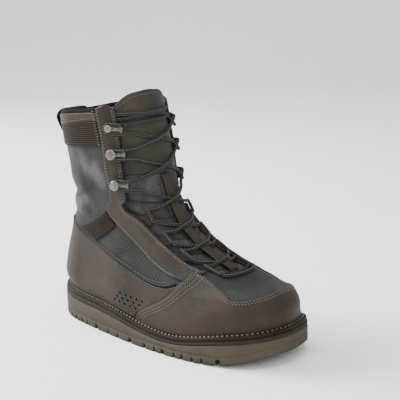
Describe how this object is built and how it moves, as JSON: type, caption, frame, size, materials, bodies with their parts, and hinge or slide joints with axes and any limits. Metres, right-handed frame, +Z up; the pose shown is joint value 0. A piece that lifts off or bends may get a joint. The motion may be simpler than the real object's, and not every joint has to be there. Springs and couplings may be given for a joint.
{
  "type": "wading boot",
  "caption": "Ankle-high lace-up wading boot with overlaid leather panels, speed hooks, webbing lace loops, padded tongue, stitched welt and a lugged and studded rubber sole.",
  "frame": {"origin": "on the ground, in the middle of the footprint of the outsole", "axes": "+X towards the toe, -Y towards the wearer's right (the outer side), +Z up"},
  "size_m": [0.3184, 0.1171, 0.2555],
  "materials": {
    "sole_rubber": "matt, dusty khaki grey",
    "midsole_rubber": "matt, dark brown",
    "welt_leather": "worn, dark brown with pale stitches",
    "insole_board": "matt black",
    "upper_cloth": "matt grey-green coated cloth",
    "leather": "matt grained grey-brown",
    "ribbed_cloth": "matt brown, ribbed",
    "webbing": "woven brown webbing",
    "black_webbing": "woven black webbing",
    "hook_metal": "dull beige-grey metal",
    "lace_cord": "braided dark grey with tan flecks"
  },
  "bodies": {
    "root": {"outsole": "sole_rubber", "midsole": "midsole_rubber", "welt": "welt_leather", "insole": "insole_board", "upper": "upper_cloth", "toe_rand": "leather", "heel_counter": "leather", "ribbed_cuff": "ribbed_cloth", "collar_binding": "black_webbing", "tongue": "leather", "pull_loop": "black_webbing", "back_tab": "black_webbing", "lace": "lace_cord", "eyestay_outer": "leather", "eyestay_inner": "leather", "ankle_ribs_outer": "ribbed_cloth", "ankle_ribs_inner": "ribbed_cloth", "lace_hook_outer_1": "hook_metal", "lace_hook_outer_2": "hook_metal", "lace_hook_outer_3": "hook_metal", "lace_hook_inner_1": "hook_metal", "lace_hook_inner_2": "hook_metal", "lace_hook_inner_3": "hook_metal", "lace_loop_outer_1": "webbing", "lace_loop_outer_2": "webbing", "lace_loop_outer_3": "webbing", "lace_loop_outer_4": "webbing", "lace_loop_inner_1": "webbing", "lace_loop_inner_2": "webbing", "lace_loop_inner_3": "webbing", "lace_loop_inner_4": "webbing", "tongue_keeper_1": "webbing", "tongue_keeper_2": "webbing", "tongue_keeper_3": "webbing"}
  },
  "joints": []
}
